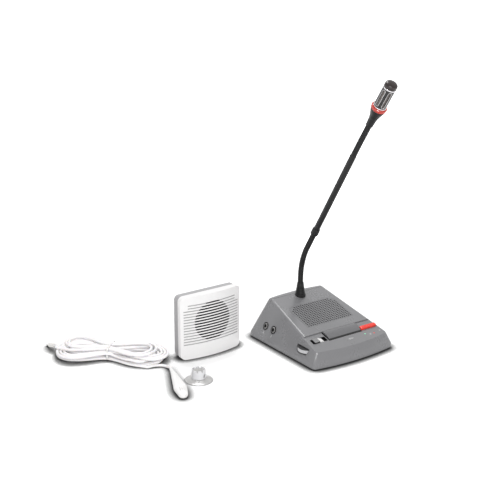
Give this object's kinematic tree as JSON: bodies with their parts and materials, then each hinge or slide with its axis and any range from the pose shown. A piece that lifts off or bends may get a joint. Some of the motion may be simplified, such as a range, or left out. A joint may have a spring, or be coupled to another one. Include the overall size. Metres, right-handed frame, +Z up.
{
  "type": "teller window intercom",
  "caption": "Two-sided counter intercom: desk console with gooseneck microphone, perforated grille, talk keys and volume wheel, wall speaker, small cabled microphone and suction cup.",
  "frame": {"origin": "on the counter, midway across the set without its cable, both ways", "axes": "+Z up from the counter, -Y towards the clerk the console faces, +X to the clerk's right"},
  "size_m": [0.4295, 0.3665, 0.4199],
  "materials": {
    "body_grey": "fine satin moulding",
    "key_grey": "satin moulding",
    "grille_grey": "satin moulding with round holes",
    "base_black": "plain moulding",
    "foot_rubber": "matt rubber",
    "screw_steel": "plated steel",
    "frame_steel": "pressed steel",
    "cone_black": "treated paper",
    "magnet_dark": "ferrite with zinc plated yoke",
    "board_green": "circuit board",
    "chip_black": "component bodies",
    "button_red": "clear bright red, smooth",
    "plunger_cream": "moulded post",
    "knob_grey": "ribbed moulding",
    "mark_white": "white piece",
    "wheel_grey": "ribbed rim",
    "shaft_white": "moulded shaft",
    "pot_brown": "laminate body",
    "socket_black": "moulded socket",
    "nut_nickel": "nickel plated",
    "lamp_clear": "tinted lamp",
    "nut_brass": "turned nut",
    "boot_black": "ribbed rubber",
    "flex_black": "ribbed flexible tube, black",
    "tube_black": "satin black",
    "mic_dark": "satin dark moulding",
    "ring_red": "lamp ring",
    "trim_chrome": "bright trim",
    "screen_mesh": "fine woven mesh",
    "capsule_silver": "pressed can",
    "cap_grey": "satin moulding",
    "speaker_light": "fine light grey moulding",
    "cloth_black": "thin cloth",
    "capmic_white": "smooth white moulding",
    "cup_clear": "pale grey soft plastic",
    "collar_grey": "pale grey collar",
    "cable_white": "smooth white sheath",
    "plug_white": "moulded body with plated pin"
  },
  "bodies": {
    "base": {"housing": "body_grey", "speaker_grille": "grille_grey", "base_plate": "base_black", "rubber_feet": "foot_rubber", "base_screws": "screw_steel", "monitor_basket": "frame_steel", "monitor_cone": "cone_black", "monitor_magnet": "magnet_dark", "monitor_screws": "screw_steel", "main_board": "board_green", "board_parts": "chip_black", "board_screws": "screw_steel", "key_board": "board_green", "key_switches": "chip_black", "mode_switch": "chip_black", "volume_pot": "pot_brown", "jack_sockets": "socket_black", "jack_washers": "socket_black", "jack_nuts": "nut_nickel", "dc_inlet": "socket_black", "power_leds": "lamp_clear", "neck_stub": "screw_steel", "neck_nut": "nut_brass", "neck_boot": "boot_black", "neck_flex_low": "flex_black", "cover_front": "speaker_light", "cover_back": "speaker_light", "cover_screws": "screw_steel", "driver_basket": "frame_steel", "driver_cone": "cone_black", "dust_cloth": "cloth_black", "speaker_socket": "socket_black", "capmic_lower": "capmic_white", "capmic_upper": "capmic_white", "capmic_capsule": "capsule_silver", "suction_cup": "cup_clear", "cup_collar": "collar_grey", "cable_lead": "cable_white", "cable_hank": "cable_white", "cable_tail": "cable_white", "cable_plug": "plug_white"},
    "talk_key": {"talk_bar": "key_grey", "talk_plungers": "plunger_cream"},
    "call_key": {"red_button": "button_red", "button_plunger": "plunger_cream"},
    "mode_slider": {"mode_knob": "knob_grey", "mode_mark": "mark_white"},
    "volume": {"volume_wheel": "wheel_grey", "volume_shaft": "shaft_white"},
    "neck_knuckle": {"neck_flex_mid": "flex_black"},
    "neck_arm": {"neck_sleeve": "boot_black", "neck_tube": "tube_black", "neck_flex_top": "flex_black"},
    "mic_head": {"mic_boot": "mic_dark", "light_ring": "ring_red", "mic_cage": "mic_dark", "cage_trim": "trim_chrome", "mic_screen": "screen_mesh", "mic_capsule": "capsule_silver", "mic_cap": "cap_grey"}
  },
  "joints": [
    {"name": "talk_press", "type": "slide", "parent": "base", "child": "talk_key", "axis": [0, 0.2588, -0.9659], "range_m": [0, 0.002], "stiffness_N_per_m": 500, "springref_m": -0.002},
    {"name": "call_press", "type": "slide", "parent": "base", "child": "call_key", "axis": [0, 0.2588, -0.9659], "range_m": [0, 0.0015], "stiffness_N_per_m": 500, "springref_m": -0.002},
    {"name": "mode_slide", "type": "slide", "parent": "base", "child": "mode_slider", "axis": [1, 0, 0], "range_m": [0, 0.005]},
    {"name": "volume_turn", "type": "hinge", "parent": "base", "child": "volume", "pos_m": [0.04536, -0.0118, 0.012], "axis": [0, 0, 1], "range_deg": [-135, 135]},
    {"name": "neck_sideways", "type": "hinge", "parent": "base", "child": "neck_knuckle", "pos_m": [0.1035, 0.08368, 0.09613], "axis": [0, 1, 0], "range_deg": [-30, 30], "deforming": ["neck_flex_low"]},
    {"name": "neck_forward", "type": "hinge", "parent": "neck_knuckle", "child": "neck_arm", "pos_m": [0.1035, 0.06761, 0.14351], "axis": [1, 0, 0], "range_deg": [-25, 25], "deforming": ["neck_flex_mid"]},
    {"name": "head_tilt", "type": "hinge", "parent": "neck_arm", "child": "mic_head", "pos_m": [0.1035, -0.04952, 0.33401], "axis": [1, 0, 0], "range_deg": [-40, 40], "deforming": ["neck_flex_top"]}
  ]
}
